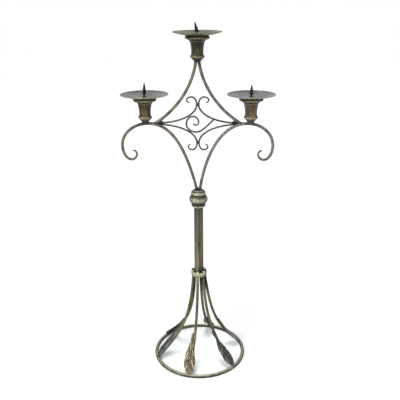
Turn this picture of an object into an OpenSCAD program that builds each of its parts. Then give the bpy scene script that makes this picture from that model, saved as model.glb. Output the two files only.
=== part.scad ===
// Torchere candle stand in forged rod: a hoop base, six flared legs with stamped leaves,
// a tube post, a cast knop and a scrolled frame that carries three pricket candle pans.
// Millimetres, +Z up. Origin: on the floor, on the post axis. The scrolled frame lies in
// the plane Y = 0 and the front of the stand faces -Y.

/* [Base] */
// Outside diameter of the hoop that the stand rests on
hoop_d = 270; // [230:1:310]
// Diameter of the hoop's round rod
hoop_rod_d = 10; // [8:0.5:12]
// Diameter of the legs' round rod
leg_rod_d = 8; // [6:0.5:9]
// Directions of the six hand-set legs about the post: 0 faces the front, 90 the right
leg_turns = [-11, 51, 110, 166, 231, 290]; // [-30:1:330]
// How far each leg's upper stretch is aimed out from the post
leg_spreads = [8, 5.5, 19, 10, 3.5, 10]; // [0:0.5:20]
// Steepness of a leg's upper stretch: how far down it stays close to the post
leg_shank = 145; // [130:1:160]
// Rise of a leg's foot: how high above the foot the flare is aimed
leg_kick = 69; // [50:1:80]

/* [Leaves] */
// Length of a leaf with its stem, measured along the leg
leaf_len = 112; // [90:1:125]
// Width of a leaf at its widest
leaf_w = 33; // [24:1:40]
// Thickness of the leaf's sheet
leaf_t = 1.2; // [0.8:0.1:2]
// How far a leaf's edges fall back behind its midrib
leaf_dish = 3; // [1:0.5:5]
// Which side of its leg each leaf's stem lies on: -1 or 1, and 0 is on top
leaf_sides = [-1, -1, 0, 0, 0, -1]; // [-1:1:1]
// Sideways set of each blade's middle from its leg
leaf_shifts = [-5.5, -2, 0, 0, 0, -9]; // [-10:0.5:10]
// How far each leaf is set down along its leg, past the leg's foot
leaf_slides = [0, 0, 0, 0, 9, 0]; // [0:1:12]

/* [Leg band] */
// Height of the band's lower edge above the floor
band_z = 262.5; // [240:1:290]
// Height of the band that ties the legs to the post
band_h = 12.5; // [10:0.5:20]
// Thickness of the band's strip
band_t = 1.3; // [1:0.1:3]

/* [Post] */
// Outside diameter of the post tube
post_d = 25.4; // [20:0.1:28]
// Wall of the post tube
post_wall = 2; // [1.5:0.1:3]
// Length of the post tube
post_len = 210; // [150:1:260]
// Length of the tapped plug in the top of the post
plug_len = 16; // [12:1:24]

/* [Knop] */
// Diameter of the knop's lower ring
knop_ring_d = 39; // [36:0.5:46]
// Height of the knop's lower ring with its neck
knop_ring_h = 12.5; // [11:0.5:18]
// How deep the post sits in the lower ring
knop_socket = 3; // [2:0.5:6]
// Diameter of the faceted bead
bead_d = 51; // [46:0.5:60]
// Height of the faceted bead
bead_h = 25; // [18:0.5:32]
// Diameter of the disc that the frame stands on
disc_d = 40; // [34:0.5:45]
// Height of that disc
disc_h = 14; // [13:0.5:18]
// Diameter of the screwed stud that draws frame, knop and post together
stud_d = 10; // [8:0.5:12]

/* [Arm rods] */
// Diameter of the arms' and upper rods' round rod
arm_rod_d = 8; // [6:0.5:9]
// Distance from the post axis to the axis of a side candle cup
arm_reach = 138; // [125:1:160]
// Height of an arm's crest above the disc, to the middle of the rod
arm_rise = 182.5; // [170:0.5:210]
// Distance from the side cup's axis inward to the top of the arm's crest
crest_inset = 8; // [0:0.5:10]
// How far the foot of the left arm is bowed outward
bow_left = 27; // [15:1:32]
// How far the foot of the right arm is bowed outward
bow_right = 18; // [15:1:32]
// How far the left arm swings out past its cup's axis
hook_out_left = 64; // [55:0.5:75]
// How far the right arm swings out past its cup's axis
hook_out_right = 60; // [55:0.5:75]
// Height from the arm's crest down to its outermost point
hook_fall = 60; // [50:1:70]
// Height from the outermost point down to the bottom of the curl
curl_fall = 38; // [30:1:45]
// Width of the curl, from its outermost point to its inner side
curl_w = 38; // [34:1:42]
// Diameter of the rod at the tip of the curl
arm_tip_d = 4.5; // [3:0.5:6]

/* [Upper rods] */
// Height of the upper rods' meeting point above the arms' crest
peak_rise = 157; // [140:1:175]
// Distance inward from a side cup's axis to the foot of an upper rod
foot_inset = 27; // [23:1:31]
// How far an upper rod runs steeply down from the peak before it bends away
upper_drop = 68; // [50:1:80]
// How far an upper rod runs towards the middle from its foot on the arm
upper_sweep = 50; // [40:1:60]

/* [Scrolls] */
// Distance from a side cup's axis inward to the ends of the scrolls
scroll_inset = 48; // [44:1:52]
// How far a scroll runs level from its end before it bends to the middle
scroll_sweep = 52; // [44:1:60]
// Diameter of the thin scroll rod
scroll_rod_d = 4.8; // [4:0.2:5.2]
// Distance from the scroll centre line to where a pair of scrolls touch
scroll_meet = 51; // [46:1:56]
// Length of a curl beyond that touching point
scroll_curl_h = 19; // [16:1:22]
// Width of an upper scroll's curl
upper_curl_w = 26; // [20:0.5:30]
// Width of a lower scroll's curl
lower_curl_w = 23.5; // [20:0.5:30]

/* [Candle cups] */
// Width over the corners of the cup's top flange
cup_flange_d = 63; // [56:1:70]
// Height of a cup
cup_h = 62; // [56:1:70]
// Width over the corners at the waist
cup_waist_d = 31; // [28:0.5:33]
// Width over the corners of the lower ring
cup_ring_d = 38; // [35:0.5:42]
// Width over the corners at the cup's foot
cup_foot_d = 18; // [17:0.5:24]
// Number of flat sides of a cup
cup_sides = 8; // [6:2:10]
// Turn of a cup about its axis, from a corner that faces the front
cup_turn = -5; // [-22:1:22]

/* [Candle pans] */
// Diameter over the rim of a candle pan
pan_d = 126; // [110:1:140]
// Height of a pan, from its underside to the top of its rim
pan_h = 10; // [8:0.5:14]
// Thickness of the pan's sheet
pan_t = 1.5; // [1:0.1:2.5]
// Diameter of the flat middle of a pan
pan_flat_d = 50; // [40:1:90]
// Diameter of the pressed boss in a pan's middle, under the nut
pan_boss_d = 14; // [13:0.5:18]
// Height of that boss
pan_boss_h = 0.6; // [0.4:0.1:1]

/* [Prickets] */
// Diameter of a pricket's screwed stem
stem_d = 5; // [4:0.5:6]
// Diameter of the spike at its barb
barb_d = 11; // [9:0.5:13]
// Length of the left spike from its barb to its tip
left_spike_len = 29; // [18:1:32]
// Length of the right spike
right_spike_len = 25; // [18:1:32]
// Length of the top spike
top_spike_len = 25; // [18:1:32]
// Height of the left pricket's barb above its pan
left_barb_rise = 9; // [7:0.5:12]
// Height of the right pricket's barb above its pan
right_barb_rise = 7.5; // [7:0.5:12]
// Height of the top pricket's barb above its pan
top_barb_rise = 7; // [7:0.5:12]
// Lean of the left spike, where its stem is bent
lean_left = 2; // [-14:1:14]
// Lean of the right spike
lean_right = 1; // [-14:1:14]
// Lean of the top spike
lean_top = -12; // [-14:1:14]
// Width across the flats of the nut that holds a pan down
nut_af = 8; // [7:0.5:10]
// Height of that nut
nut_h = 2.8; // [2:0.2:4]

/* [Hidden] */

$fn = 96;
fit = 0.15;        // clearance between welded or stacked pieces
slide_fit = 0.2;   // clearance on the radius round studs and stems
rod_sides = 10;    // flats of a forged rod's surface
thin_sides = 8;    // flats of a scroll rod's surface

bronze = "#6b5a3a";
old_gold = "#8a7440";
pewter = "#8d8f8a";
soot = "#2a2a28";
steel = "#9a9a98";

// ---- heights up the stand
hoop_r = hoop_rod_d / 2;
hoop_mid = hoop_d / 2 - hoop_r;
leg_r = leg_rod_d / 2;
leg_top_z = band_z + band_h;
leg_mid = post_d / 2 + fit + leg_r;
band_in = leg_mid + leg_r + fit;
post_top_z = band_z + post_len;
knop_ring_z = post_top_z - knop_socket;
bead_z = knop_ring_z + knop_ring_h;
disc_z = bead_z + bead_h;
disc_top_z = disc_z + disc_h;
crest_z = disc_top_z + arm_rise;
peak_z = crest_z + peak_rise;
arm_r = arm_rod_d / 2;
scroll_r = scroll_rod_d / 2;
saddle_plate = 1;
side_cup_z = crest_z + arm_r + saddle_plate;
top_plate = 2.5;
top_cup_z = peak_z + top_plate;

// ---- plane curves, as lists of [x, z] points
function mix(a, b, t) = a + (b - a) * t;
function bezier(a, b, c, d, t) =
  a * pow(1 - t, 3) + b * 3 * t * pow(1 - t, 2) + c * 3 * t * t * (1 - t) + d * pow(t, 3);
function bezier_run(a, b, c, d, n) = [for (i = [0 : n - 1]) bezier(a, b, c, d, i / n)];
// A quarter of an ellipse that leaves a along x (or along z) and reaches b square to that
function quarter_x(a, b, n) = [for (i = [0 : n - 1]) let (w = 90 * i / n)
  [mix(a[0], b[0], sin(w)), mix(a[1], b[1], 1 - cos(w))]];
function quarter_z(a, b, n) = [for (i = [0 : n - 1]) let (w = 90 * i / n)
  [mix(a[0], b[0], 1 - cos(w)), mix(a[1], b[1], sin(w))]];
function unit(v) = v / norm(v);
function tangent(path, i) = unit(path[min(i + 1, len(path) - 1)] - path[max(i - 1, 0)]);
function left_of(v) = [-v[1], v[0]];
function flip_order(path) = [for (i = [len(path) - 1 : -1 : 0]) path[i]];

// Index of the first point of a path that is further along x than x0
function index_past_x(path, x0, i = 0) =
  i >= len(path) - 1 || path[i][0] >= x0 ? i : index_past_x(path, x0, i + 1);
// Height of a path that rises along x, at x0
function height_at(path, x0) =
  let (i = max(1, index_past_x(path, x0)), a = path[i - 1], b = path[i])
  mix(a[1], b[1], (x0 - a[0]) / (b[0] - a[0]));

// A round rod along a plane path. radii has one radius a point. Each end is cut square,
// or flush with a plane whose normal is given in the path's own plane.
module bent_rod(path, radii, sides, start_cut = undef, end_cut = undef) {
  last = len(path) - 1;
  rings = [for (i = [0 : last]) let (
      along = tangent(path, i),
      across = left_of(along),
      cut = i == 0 ? start_cut : i == last ? end_cut : undef
    ) for (k = [0 : sides - 1]) let (
      w = 360 * (k + 0.5) / sides,
      slide = cut == undef ? 0 : -radii[i] * cos(w) * (across * cut) / (along * cut),
      p = path[i] + across * radii[i] * cos(w) + along * slide
    ) [p[0], radii[i] * sin(w), p[1]]];
  walls = [for (i = [0 : last - 1]) for (k = [0 : sides - 1]) let (
      a = i * sides + k, b = i * sides + (k + 1) % sides
    ) [a, b, b + sides, a + sides]];
  caps = [[for (k = [sides - 1 : -1 : 0]) k], [for (k = [0 : sides - 1]) last * sides + k]];
  polyhedron(rings, concat(walls, caps), convexity = 8);
}

function even_radii(path, r) = [for (q = path) r];
// Full radius up to point from, then a straight taper to the tip
function tapered_radii(path, r, tip_r, from) = [for (i = [0 : len(path) - 1])
  i <= from ? r : mix(r, tip_r, (i - from) / (len(path) - 1 - from))];

// ---- base
module base_hoop() {
  color(bronze) rotate_extrude() translate([hoop_mid, hoop_r]) circle(hoop_r, $fn = 48);
}

// A leg stands upright inside the band, leans out below it and flares down to the hoop
foot_dir = [1, -1] / sqrt(2);
foot_p = [hoop_mid, hoop_r] - foot_dir * (hoop_r + fit);
leg_knee = [leg_mid, band_z];
leg_aim = foot_p - foot_dir * leg_kick * sqrt(2);
function leg_at(k, t) =
  bezier(leg_knee, leg_knee + [leg_spreads[k], -leg_shank], leg_aim, foot_p, t);
leg_steps = 18;

module leg(k) {
  path = concat([[leg_mid, leg_top_z]], [for (i = [0 : leg_steps]) leg_at(k, i / leg_steps)]);
  color(bronze) rotate(leg_turns[k] - 90)
    bent_rod(path, even_radii(path, leg_r), rod_sides, [0, -1], foot_dir);
}

// ---- leaves: a dished sheet on the outer side of each leg, its stem welded beside or on the rod
leaf_stem_w = 6;
leaf_tip_w = 1.4;
leaf_neck = 0.2;       // share of the length that is plain stem
leaf_fullness = 1.8;   // above 1 moves the widest part towards the tip
leaf_roundness = 0.38; // below 1 rounds the blade's shoulders
leaf_rows = 20;
leaf_cols = 6;
// Share of a leg's curve at which its rest is as long as the length given: found by halving
function share_within(k, length, low = 0, high = 1, turns = 12) =
  let (half = (low + high) / 2)
  turns == 0 ? half : rest_of(k, half) > length
    ? share_within(k, length, half, high, turns - 1) : share_within(k, length, low, half, turns - 1);
// Length of a leg's curve from a share of it to the foot, along straight steps
rest_steps = 24;
function rest_of(k, share) = run_length([for (i = [0 : rest_steps])
  leg_at(k, mix(share, 1, i / rest_steps))]);
function run_length(path, i = 0) =
  i >= len(path) - 1 ? 0 : norm(path[i + 1] - path[i]) + run_length(path, i + 1);
// The leg's curve, and past the foot its tangent; slides are given in millimetres there
function leg_on(k, t) =
  t <= 1 ? leg_at(k, t) : foot_p + foot_dir * (t - 1) * 3 * norm(foot_p - leg_aim);
function leaf_width(u) = let (blade = max(0, (u - leaf_neck) / (1 - leaf_neck)))
  max(mix(leaf_stem_w, leaf_tip_w, u),
    leaf_w * pow(max(0, sin(180 * pow(blade, leaf_fullness))), leaf_roundness));

module leaf(k) {
  side = leaf_sides[k];
  slide = leaf_slides[k];
  leaf_from = share_within(k, leaf_len - slide);
  leaf_to = 1 + slide / (3 * norm(foot_p - leg_aim));
  nudge = 0.01;
  function rib(u) = leg_on(k, mix(leaf_from, leaf_to, u));
  function out(u) = let (e = min(u + nudge, 1)) left_of(unit(rib(e) - rib(e - 2 * nudge)));
  // A stem beside the rod climbs onto it as the blade widens, and the tip comes back to it
  stem_shift = side * (leg_r + leaf_stem_w / 2 + fit);
  function drift(u) =
    mix(stem_shift, leaf_shifts[k], min(1, 2 * max(0, u - leaf_neck))) * (1 - pow(u, 8));
  function dish(u, v) = leaf_dish * v * v * min(1, leaf_width(u) / leaf_w);
  function climb(u) = side == 0 ? 1 : min(1, 0.25 + 6.5 * max(0, u - leaf_neck / 2));
  hop = slide > 0 ? hoop_r - leg_r + leaf_dish : 0;
  function lift(u) = hop * u * u
    + climb(u) * (leg_r + fit + 1.1 * dish(u, min(1, 2 * abs(drift(u)) / leaf_width(u))));
  // Height of the sheet over the rod's middle, at a share v of the half width
  function sheet(u, v) = lift(u) - dish(u, v);
  function grid(over) = [for (i = [0 : leaf_rows]) let (u = i / leaf_rows) for (j = [0 : leaf_cols])
    let (v = 2 * j / leaf_cols - 1, p = rib(u) + out(u) * (sheet(u, v) + over))
    [p[0], drift(u) + v * leaf_width(u) / 2, p[1]]];
  wide = leaf_cols + 1;
  all_points = (leaf_rows + 1) * wide;
  points = concat(grid(leaf_t), grid(0));
  tops = [for (i = [0 : leaf_rows - 1]) for (j = [0 : leaf_cols - 1]) let (a = i * wide + j)
    [a, a + wide, a + wide + 1, a + 1]];
  backs = [for (q = tops) [for (m = [3 : -1 : 0]) q[m] + all_points]];
  edges = [for (i = [0 : leaf_rows - 1]) for (side = [0, 1]) let (
      a = i * wide + side * leaf_cols, b = a + wide
    ) side == 0 ? [b, a, a + all_points, b + all_points] : [a, b, b + all_points, a + all_points]];
  ends = [for (j = [0 : leaf_cols - 1]) for (side = [0, 1]) let (
      a = side * leaf_rows * wide + j, b = a + 1
    ) side == 0 ? [a, b, b + all_points, a + all_points] : [b, a, a + all_points, b + all_points]];
  color(old_gold) rotate(leg_turns[k] - 90)
    polyhedron(points, concat(tops, backs, edges, ends), convexity = 4);
}

// ---- post
module leg_band() {
  color(old_gold) translate([0, 0, band_z]) difference() {
    cylinder(r = band_in + band_t, h = band_h);
    translate([0, 0, -1]) cylinder(r = band_in, h = band_h + 2);
  }
}

module post_tube() {
  color(bronze) translate([0, 0, band_z]) difference() {
    cylinder(d = post_d, h = post_len);
    translate([0, 0, -1]) cylinder(d = post_d - 2 * post_wall, h = post_len + 2);
  }
}

module post_plug() {
  color(steel) translate([0, 0, post_top_z - plug_len]) difference() {
    cylinder(d = post_d - 2 * post_wall - 2 * fit, h = plug_len - fit);
    translate([0, 0, -1]) cylinder(d = stud_d + 2 * slide_fit, h = plug_len + 2);
  }
}

// ---- knop
neck_wall = 1.9;
neck_h = 2;
module knop_ring() {
  neck_r = post_d / 2 + fit + neck_wall;
  ring_r = knop_ring_d / 2;
  color(old_gold) translate([0, 0, knop_ring_z]) difference() {
    rotate_extrude() polygon([
      [0, 0], [neck_r, 0], [neck_r, neck_h], [ring_r - 1, neck_h + 1.2], [ring_r, neck_h + 2.5],
      [ring_r, knop_ring_h - 4.5], [ring_r - 1, knop_ring_h - 2], [ring_r - 3, knop_ring_h],
      [0, knop_ring_h]
    ]);
    translate([0, 0, -1]) cylinder(r = post_d / 2 + fit, h = knop_socket + 1 + fit);
    cylinder(d = stud_d + 2 * slide_fit, h = knop_ring_h + 1);
  }
}

bead_facets = 12;
module knop_bead() {
  r = bead_d / 2;
  color(old_gold) translate([0, 0, bead_z]) difference() {
    rotate([0, 0, 180 / bead_facets]) rotate_extrude($fn = bead_facets) polygon([
      [0, fit], [r * 0.74, fit], [r * 0.92, bead_h * 0.22], [r, bead_h * 0.42],
      [r * 0.97, bead_h * 0.6], [r * 0.83, bead_h * 0.83], [r * 0.7, bead_h - fit],
      [0, bead_h - fit]
    ]);
    translate([0, 0, -1]) cylinder(d = stud_d + 2 * slide_fit, h = bead_h + 2);
  }
}

stud_in_disc = 9;
module frame_disc() {
  r = disc_d / 2;
  color(old_gold) translate([0, 0, disc_z]) difference() {
    rotate_extrude() polygon([
      [0, 0], [r - 1.8, 0], [r, 1.8], [r, 3.2], [r - 0.8, 3.8], [r - 0.8, 4.8], [r, 5.4],
      [r, 6.8], [r - 1.2, 8.2], [r - 3.2, 8.8], [r - 3, 10.2], [r - 4.5, 12],
      [r - 8, disc_h - 0.8], [r - 9, disc_h], [0, disc_h]
    ]);
    translate([0, 0, -1]) cylinder(d = stud_d + 2 * slide_fit, h = stud_in_disc + 1);
  }
}

module tie_stud() {
  bottom = post_top_z - plug_len - 2;
  color(steel) translate([0, 0, bottom])
    cylinder(d = stud_d, h = disc_z + stud_in_disc - fit - bottom);
}

// ---- frame. Both sides are drawn on the right, and the left one is mirrored: side is 1
// for the right and -1 for the left, which were bent by hand and differ a little
// An arm: up from the disc, over a crest under the side cup, out and down into a curl
arm_start = [arm_r * 1.03 + fit, disc_top_z];
arm_crest = [arm_reach - crest_inset, crest_z];
stem_pull = 113;    // how far an arm keeps the direction of its foot
crest_pull = 62;    // how far it keeps the level of its crest
curl_tip_w = 10;
curl_inner_h = 15;
curl_rise = 10;
arm_run = 24;
hook_run = 9;
curl_run = 8;
function arm_stem(side) = bezier_run(arm_start,
  arm_start + [side > 0 ? bow_right : bow_left, stem_pull], arm_crest - [crest_pull, 0], arm_crest,
  arm_run);
function arm_line(side) = concat(arm_stem(side), [arm_crest]);
function arm_path(side) = let (
    hook_out = side > 0 ? hook_out_right : hook_out_left,
    outermost = [arm_reach + hook_out, crest_z - hook_fall],
    bottom = [outermost[0] - curl_w * 0.6, outermost[1] - curl_fall],
    inner = [outermost[0] - curl_w, bottom[1] + curl_inner_h],
    tip = inner + [curl_tip_w, curl_rise]
  ) concat(
    arm_stem(side), quarter_x(arm_crest, outermost, hook_run),
    quarter_z(outermost, bottom, curl_run), quarter_x(bottom, inner, curl_run),
    quarter_z(inner, tip, curl_run), [tip]
  );

module arm(side) {
  path = arm_path(side);
  color(bronze) bent_rod(path, tapered_radii(path, arm_r, arm_tip_d / 2, arm_run + hook_run),
    rod_sides, [0, 1]);
}

// An upper rod: from the peak under the top seat down to the top of an arm
rest_x = arm_reach - foot_inset;
upper_start = [arm_r * 1.03 + fit, peak_z];
upper_splay = 10;
upper_lift = 31;
upper_run = 16;
function slope_at(line, x) = let (i = max(1, index_past_x(line, x))) unit(line[i] - line[i - 1]);
function rest_up(side) = left_of(slope_at(arm_line(side), rest_x));
function upper_line(side) = let (
    foot = [rest_x, height_at(arm_line(side), rest_x)] + rest_up(side) * (arm_r + fit)
  ) concat(
    bezier_run(upper_start, upper_start + [upper_splay, -upper_drop],
      foot + [-upper_sweep, upper_lift], foot, upper_run),
    [foot]
  );

module upper_rod(side) {
  line = upper_line(side);
  color(bronze) bent_rod(line, even_radii(line, arm_r), rod_sides, [0, -1], rest_up(side));
}

// A scroll: from the side corner of the frame in to the middle, where a pair touch, and
// out again in a curl. The lower scroll lies on the arm and the upper one on the lower.
pocket = 2 * scroll_r + fit;
corner_x = arm_reach - scroll_inset;
function rest_on_arm(side) = let (line = arm_line(side))
  height_at(line, corner_x) + (arm_r + scroll_r) / slope_at(line, corner_x)[0];
scroll_mid_z = max(rest_on_arm(-1), rest_on_arm(1)) + fit + pocket / 2;
scroll_spread = 4;
scroll_bend = 24;
sweep_run = 15;
function scroll_line(up) = let (
    curl_w = up > 0 ? upper_curl_w : lower_curl_w,
    start = [corner_x, up * pocket / 2],
    meet = [scroll_r + fit, up * scroll_meet],
    top = meet + [curl_w * 0.52, up * scroll_curl_h],
    out = meet + [curl_w, up * scroll_curl_h * 0.58],
    tip = meet + [curl_w * 0.72, up * scroll_curl_h * 0.25]
  ) concat(
    bezier_run(start, start + [-scroll_sweep, up * scroll_spread],
      meet - [0, up * scroll_bend], meet, sweep_run),
    quarter_z(meet, top, 6), quarter_x(top, out, 6), quarter_z(out, tip, 5), [tip]
  );

module scroll(up) {
  line = scroll_line(up);
  color(bronze) translate([0, 0, scroll_mid_z])
    bent_rod(line, tapered_radii(line, scroll_r, scroll_r * 0.75, sweep_run), thin_sides);
}

// Weld metal in the side corner: a wedge between the arm, the upper rod and the scroll ends
module corner_weld(side) {
  weld_w = 5;
  steps = 6;
  least_h = 0.6;
  // Height of a rod's surface at x, above (face 1) or below (face -1) its middle
  function skin(line, x, face) =
    height_at(line, x) + face * (arm_r + fit) / abs(slope_at(line, x)[0]);
  arm_top = arm_line(side);
  upper_from_left = flip_order(upper_line(side));
  function floor_at(x) = skin(arm_top, x, 1);
  function roof_at(x) = min(skin(upper_from_left, x, -1), scroll_mid_z + pocket + 1);
  start_x = corner_x + 2 * fit;
  end_x = max([for (i = [0 : 40]) let (x = start_x + i * 0.5)
    if (roof_at(x) - floor_at(x) > least_h) x]);
  xs = [for (i = [0 : steps]) mix(start_x, end_x, i / steps)];
  color(soot) rotate([90, 0, 0]) linear_extrude(weld_w, center = true) polygon(concat(
    [for (x = xs) [x, floor_at(x)]], [for (i = [steps : -1 : 0]) [xs[i], roof_at(xs[i])]]
  ));
}

// The single scroll in the middle: welded under the upper right scroll, round the left
// side of the frame's centre and in to a small eye. Its loop fits between the left scrolls.
module centre_scroll() {
  touch_i = 5;
  upper = scroll_line(1);
  touch = mix(upper[touch_i], upper[touch_i + 1], 0.4)
    + left_of(tangent(upper, touch_i)) * (scroll_r + fit);
  // Room from the frame's centre to the scrolls
  loop_r = min([for (q = scroll_line(-1)) norm(q)]) - 2 * scroll_r - 2 * fit;
  bottom = loop_r * [-0.21, -0.86];
  left = loop_r * [-1.17, -0.02];
  top = loop_r * [-0.5, 0.75];
  right = loop_r * [0.08, 0.19];
  eye = loop_r * [-0.21, -0.15];
  tip = loop_r * [-0.45, 0.04];
  line = concat(
    bezier_run(touch, touch - loop_r * [0.7, 0.62], bottom + loop_r * [0.66, 0], bottom, 10),
    quarter_x(bottom, left, 7), quarter_z(left, top, 7), quarter_x(top, right, 6),
    quarter_z(right, eye, 5), quarter_x(eye, tip, 4), [tip]
  );
  color(bronze) translate([0, 0, scroll_mid_z])
    bent_rod(line, tapered_radii(line, scroll_r, scroll_r * 0.8, 24), thin_sides,
      left_of(tangent(upper, touch_i)));
}

// ---- seats: a plate on the rod under each cup, with a spigot tapped for the pricket's stem
spigot_d = 11;
spigot_h = 16;
seat_r = cup_foot_d / 2 - 0.3;
module seat(base) {
  difference() {
    union() {
      cylinder(r = seat_r, h = base);
      cylinder(d = spigot_d, h = base + spigot_h);
    }
    translate([0, 0, base]) cylinder(d = stem_d + 2 * slide_fit, h = spigot_h + 1);
  }
}

module side_seat() {
  grip = arm_r + saddle_plate + 1.5;
  slot_r = arm_r + 0.25;
  color(bronze) translate([arm_reach, 0, side_cup_z - grip]) difference() {
    seat(grip);
    translate([0, 0, 1.5]) rotate([0, 90, 0]) cylinder(r = slot_r, h = 4 * seat_r, center = true);
    translate([0, 0, -4.25]) cube([4 * seat_r, 2 * slot_r, 11.5], center = true);
  }
}

module seat_top() {
  color(bronze) translate([0, 0, peak_z + fit]) seat(top_plate - fit);
}

// ---- candle cups: cast, flat-sided bells with a cavity for the stem and spigot
cup_wall = 3.2;
module cup() {
  foot_r = cup_foot_d / 2;
  ring_r = cup_ring_d / 2;
  waist_r = cup_waist_d / 2;
  flange_r = cup_flange_d / 2;
  neck_r = waist_r + 4;
  cavity_r = waist_r * cos(180 / cup_sides) - cup_wall;
  color(bronze) difference() {
    rotate([0, 0, cup_turn - 90]) rotate_extrude($fn = cup_sides) polygon([
      [0, fit], [foot_r, fit], [ring_r - 0.6, cup_h * 0.155], [ring_r, cup_h * 0.18],
      [ring_r - 0.6, cup_h * 0.205], [waist_r + 0.8, cup_h * 0.27], [waist_r, cup_h * 0.36],
      [waist_r + 0.9, cup_h * 0.53], [waist_r + 2.6, cup_h * 0.68], [neck_r, cup_h * 0.78],
      [neck_r + 1.2, cup_h * 0.8], [flange_r - 1.5, cup_h * 0.875], [flange_r, cup_h * 0.9],
      [flange_r, cup_h * 0.94], [flange_r - 2.5, cup_h - fit], [0, cup_h - fit]
    ]);
    translate([0, 0, -1]) cylinder(d = spigot_d + 2 * slide_fit, h = cup_h);
    translate([0, 0, cup_h * 0.2]) cylinder(r = cavity_r, h = cup_h);
  }
}

// ---- candle pans: shallow conical dishes with a rolled rim and a boss under the nut
rim_bead_r = 0.9;
module pan() {
  rim_r = pan_d / 2 - rim_bead_r;
  flat_r = pan_flat_d / 2;
  rise = pan_h - 2 * rim_bead_r;
  color(pewter) difference() {
    union() {
      rotate_extrude() union() {
        polygon([
          [0, 0], [flat_r, 0], [mix(flat_r, rim_r, 0.5), rise * 0.42], [rim_r, rise],
          [rim_r, rise + pan_t], [mix(flat_r, rim_r, 0.5), rise * 0.42 + pan_t],
          [flat_r, pan_t], [0, pan_t]
        ]);
        translate([rim_r, pan_h - rim_bead_r]) circle(rim_bead_r, $fn = 24);
      }
      cylinder(d = pan_boss_d, h = pan_t + pan_boss_h);
    }
    translate([0, 0, -1]) cylinder(d = stem_d + 2 * slide_fit, h = pan_t + pan_boss_h + 2);
  }
}

// ---- prickets: a spike on a screwed stem that runs down through nut, pan and cup
module pricket(barb_rise, spike_len, lean) {
  stem_in_spigot = 10;
  depth = cup_h - spigot_h + stem_in_spigot;
  bend_h = pan_boss_h + fit + nut_h + 1;
  bent_h = barb_rise - bend_h;
  stem_r = stem_d / 2;
  barb_r = barb_d / 2;
  color(soot) translate([0, 0, pan_t]) {
    translate([0, 0, -pan_t - depth]) cylinder(d = stem_d, h = depth + pan_t + bend_h);
    translate([0, 0, bend_h]) rotate([0, lean, 0]) rotate_extrude() polygon([
      [0, -1], [stem_r - 0.15, -1], [stem_r - 0.15, bent_h - 1.5], [barb_r - 0.8, bent_h - 1],
      [barb_r, bent_h], [0.4, bent_h + spike_len], [0, bent_h + spike_len]
    ]);
  }
}

module pan_nut() {
  color(steel) translate([0, 0, pan_t + pan_boss_h + fit]) difference() {
    cylinder(d = nut_af / cos(30), h = nut_h, $fn = 6);
    translate([0, 0, -1]) cylinder(d = stem_d + 2 * slide_fit, h = nut_h + 2);
  }
}

// ---- placing the pieces
module on_side(side) { translate([side * arm_reach, 0, side_cup_z]) children(); }
module on_top() { translate([0, 0, top_cup_z]) children(); }
module mirrored() { mirror([1, 0, 0]) children(); }
module up_cup() { translate([0, 0, cup_h]) children(); }

base_hoop();
leg(0);  // leg_1
leg(1);  // leg_2
leg(2);  // leg_3
leg(3);  // leg_4
leg(4);  // leg_5
leg(5);  // leg_6
leaf(0);  // leaf_1
leaf(1);  // leaf_2
leaf(2);  // leaf_3
leaf(3);  // leaf_4
leaf(4);  // leaf_5
leaf(5);  // leaf_6
leg_band();
post_tube();
post_plug();
knop_ring();
knop_bead();
frame_disc();
tie_stud();
arm(1);  // arm_right
mirrored() arm(-1);  // arm_left
upper_rod(1);  // upper_rod_right
mirrored() upper_rod(-1);  // upper_rod_left
scroll(1);  // scroll_upper_right
scroll(-1);  // scroll_lower_right
mirrored() scroll(1);  // scroll_upper_left
mirrored() scroll(-1);  // scroll_lower_left
centre_scroll();
corner_weld(1);  // corner_weld_right
mirrored() corner_weld(-1);  // corner_weld_left
side_seat();  // seat_right
mirrored() side_seat();  // seat_left
seat_top();
on_side(-1) cup();  // cup_left
on_side(1) cup();  // cup_right
on_top() cup();  // cup_top
on_side(-1) up_cup() pan();  // pan_left
on_side(1) up_cup() pan();  // pan_right
on_top() up_cup() pan();  // pan_top
on_side(-1) up_cup()  // pricket_left
  pricket(left_barb_rise, left_spike_len, lean_left);
on_side(1) up_cup()  // pricket_right
  pricket(right_barb_rise, right_spike_len, lean_right);
on_top() up_cup()  // pricket_top
  pricket(top_barb_rise, top_spike_len, lean_top);
on_side(-1) up_cup() pan_nut();  // pan_nut_left
on_side(1) up_cup() pan_nut();  // pan_nut_right
on_top() up_cup() pan_nut();  // pan_nut_top
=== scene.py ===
# Torchere candle stand: forged iron rod with an antique bronze finish. A hoop base, six legs
# with stamped leaves, a tube post, a cast knop and a scrolled frame with three candle pans.
# Metres, +Z up. The scrolled frame lies in the plane y = 0 and the front faces -Y.
import math

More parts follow.
